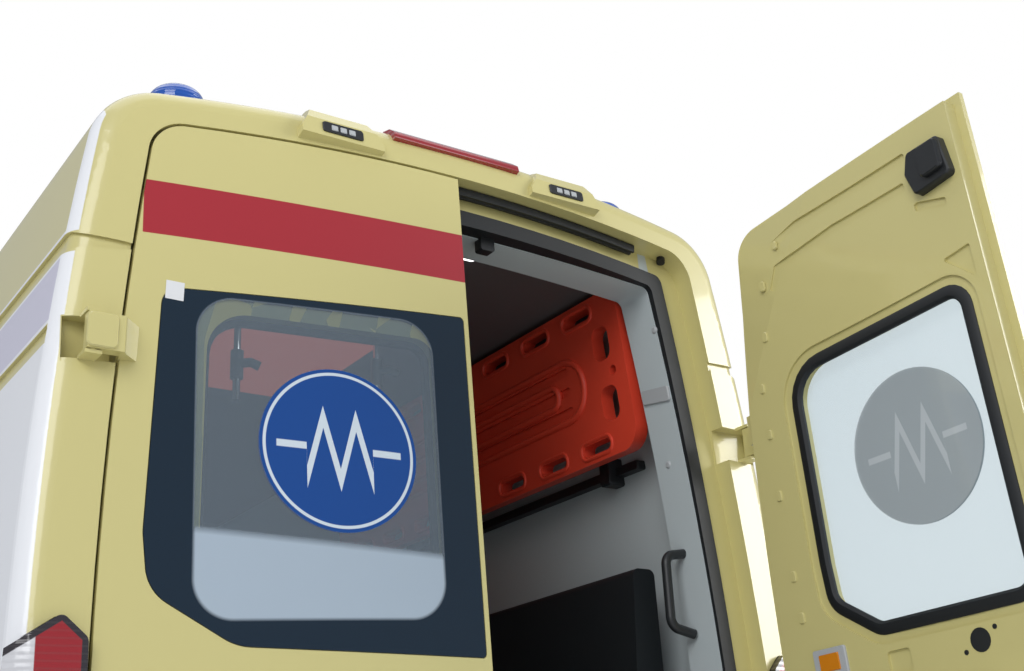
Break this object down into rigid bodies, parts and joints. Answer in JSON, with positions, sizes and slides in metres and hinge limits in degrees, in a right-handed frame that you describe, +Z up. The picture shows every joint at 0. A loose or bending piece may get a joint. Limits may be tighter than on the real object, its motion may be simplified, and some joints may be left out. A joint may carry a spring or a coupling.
{
  "type": "ambulance",
  "caption": "High-roof van ambulance in yellow with red band and medical disc, hinged rear doors, cab doors, bonnet, steered front wheels and turning road wheels",
  "frame": {"origin": "on the road, midway along and across the vehicle as it stands with its right rear door open", "axes": "+X is the vehicle's right, +Y is forward, +Z is up"},
  "size_m": [2.474, 6.8433, 2.6798],
  "materials": {
    "body_yellow": "gloss",
    "flank_white": "gloss",
    "black_moulding": "matte",
    "black_rubber": "matte",
    "tyre_rubber": "matte",
    "wheel_steel": "satin",
    "bare_steel": "satin",
    "engine_metal": "matte",
    "underbody": "matte",
    "lining_grey": "matte",
    "window_glass": "gloss",
    "lamp_clear": "gloss",
    "lamp_red": "gloss",
    "beacon_blue": "gloss",
    "board_orange": "satin",
    "seat_fabric": "matte",
    "seat_black": "satin"
  },
  "bodies": {
    "body": {"chassis_frame": "underbody", "floor_pan": "underbody", "left_body_side": "flank_white", "right_body_side": "flank_white", "roof_panel": "body_yellow", "rear_frame": "body_yellow", "bulkhead": "lining_grey", "sliding_door": "flank_white", "front_end": "flank_white", "front_bumper": "black_moulding", "grille": "black_moulding", "fixed_glass": "window_glass", "dashboard": "black_moulding", "cab_seats": "seat_fabric", "engine": "engine_metal", "headlamps": "lamp_clear", "rear_lamps": "lamp_red", "rear_step": "black_moulding", "door_seal": "black_rubber", "interior_lining": "lining_grey", "beacons": "beacon_blue", "strobe_pods": "black_moulding", "exhaust": "bare_steel", "rear_axle": "underbody", "spine_board": "board_orange", "grab_handle": "black_moulding", "attendant_seat": "seat_black"},
    "left_hub": {"left_knuckle": "bare_steel"},
    "right_hub": {"right_knuckle": "bare_steel"},
    "front_left_wheel": {"front_left_tyre": "tyre_rubber", "front_left_rim": "wheel_steel"},
    "front_right_wheel": {"front_right_tyre": "tyre_rubber", "front_right_rim": "wheel_steel"},
    "rear_left_wheel": {"rear_left_tyre": "tyre_rubber", "rear_left_rim": "wheel_steel"},
    "rear_right_wheel": {"rear_right_tyre": "tyre_rubber", "rear_right_rim": "wheel_steel"},
    "left_front_door": {"left_cab_door": "flank_white", "left_cab_glass": "window_glass", "left_mirror": "black_moulding"},
    "right_front_door": {"right_cab_door": "flank_white", "right_cab_glass": "window_glass", "right_mirror": "black_moulding"},
    "hood": {"bonnet": "flank_white"},
    "left_back_door": {"left_rear_door": "body_yellow", "left_rear_glass": "window_glass"},
    "right_back_door": {"right_rear_door": "body_yellow", "right_rear_glass": "window_glass"}
  },
  "joints": [
    {"name": "left_steer", "type": "hinge", "parent": "body", "child": "left_hub", "pos_m": [-0.79, 2.388, 0.215], "axis": [0.2139, 0, 0.9769], "range_deg": [-35, 35]},
    {"name": "right_steer", "type": "hinge", "parent": "body", "child": "right_hub", "pos_m": [0.79, 2.388, 0.215], "axis": [-0.2139, 0, 0.9769], "range_deg": [-35, 35]},
    {"name": "front_left_spin", "type": "hinge", "parent": "left_hub", "child": "front_left_wheel", "pos_m": [-0.868, 2.388, 0.355], "axis": [1, 0, 0], "continuous": true},
    {"name": "front_right_spin", "type": "hinge", "parent": "right_hub", "child": "front_right_wheel", "pos_m": [0.868, 2.388, 0.355], "axis": [1, 0, 0], "continuous": true},
    {"name": "rear_left_spin", "type": "hinge", "parent": "body", "child": "rear_left_wheel", "pos_m": [-0.868, -1.362, 0.355], "axis": [1, 0, 0], "continuous": true},
    {"name": "rear_right_spin", "type": "hinge", "parent": "body", "child": "rear_right_wheel", "pos_m": [0.868, -1.362, 0.355], "axis": [1, 0, 0], "continuous": true},
    {"name": "left_cab_hinge", "type": "hinge", "parent": "body", "child": "left_front_door", "pos_m": [-0.99, 2.275, 1.18], "axis": [0, 0, 1], "range_deg": [-70, 0]},
    {"name": "right_cab_hinge", "type": "hinge", "parent": "body", "child": "right_front_door", "pos_m": [0.99, 2.275, 1.18], "axis": [0, 0, 1], "range_deg": [0, 70]},
    {"name": "bonnet_hinge", "type": "hinge", "parent": "body", "child": "hood", "pos_m": [0, 2.625, 1.38], "axis": [1, 0, 0], "range_deg": [0, 55]},
    {"name": "left_rear_hinge", "type": "hinge", "parent": "body", "child": "left_back_door", "pos_m": [-0.923, -2.483, 1.7], "axis": [0.014, 0.022, 0.9997], "range_deg": [-180, 0]},
    {"name": "right_rear_hinge", "type": "hinge", "parent": "body", "child": "right_back_door", "pos_m": [0.923, -2.483, 1.7], "axis": [-0.014, 0.022, 0.9997], "range_deg": [-87.8, 92.2]}
  ],
  "couplings": [
    {"joint": "right_steer", "follows": "left_steer", "ratio": 1}
  ]
}
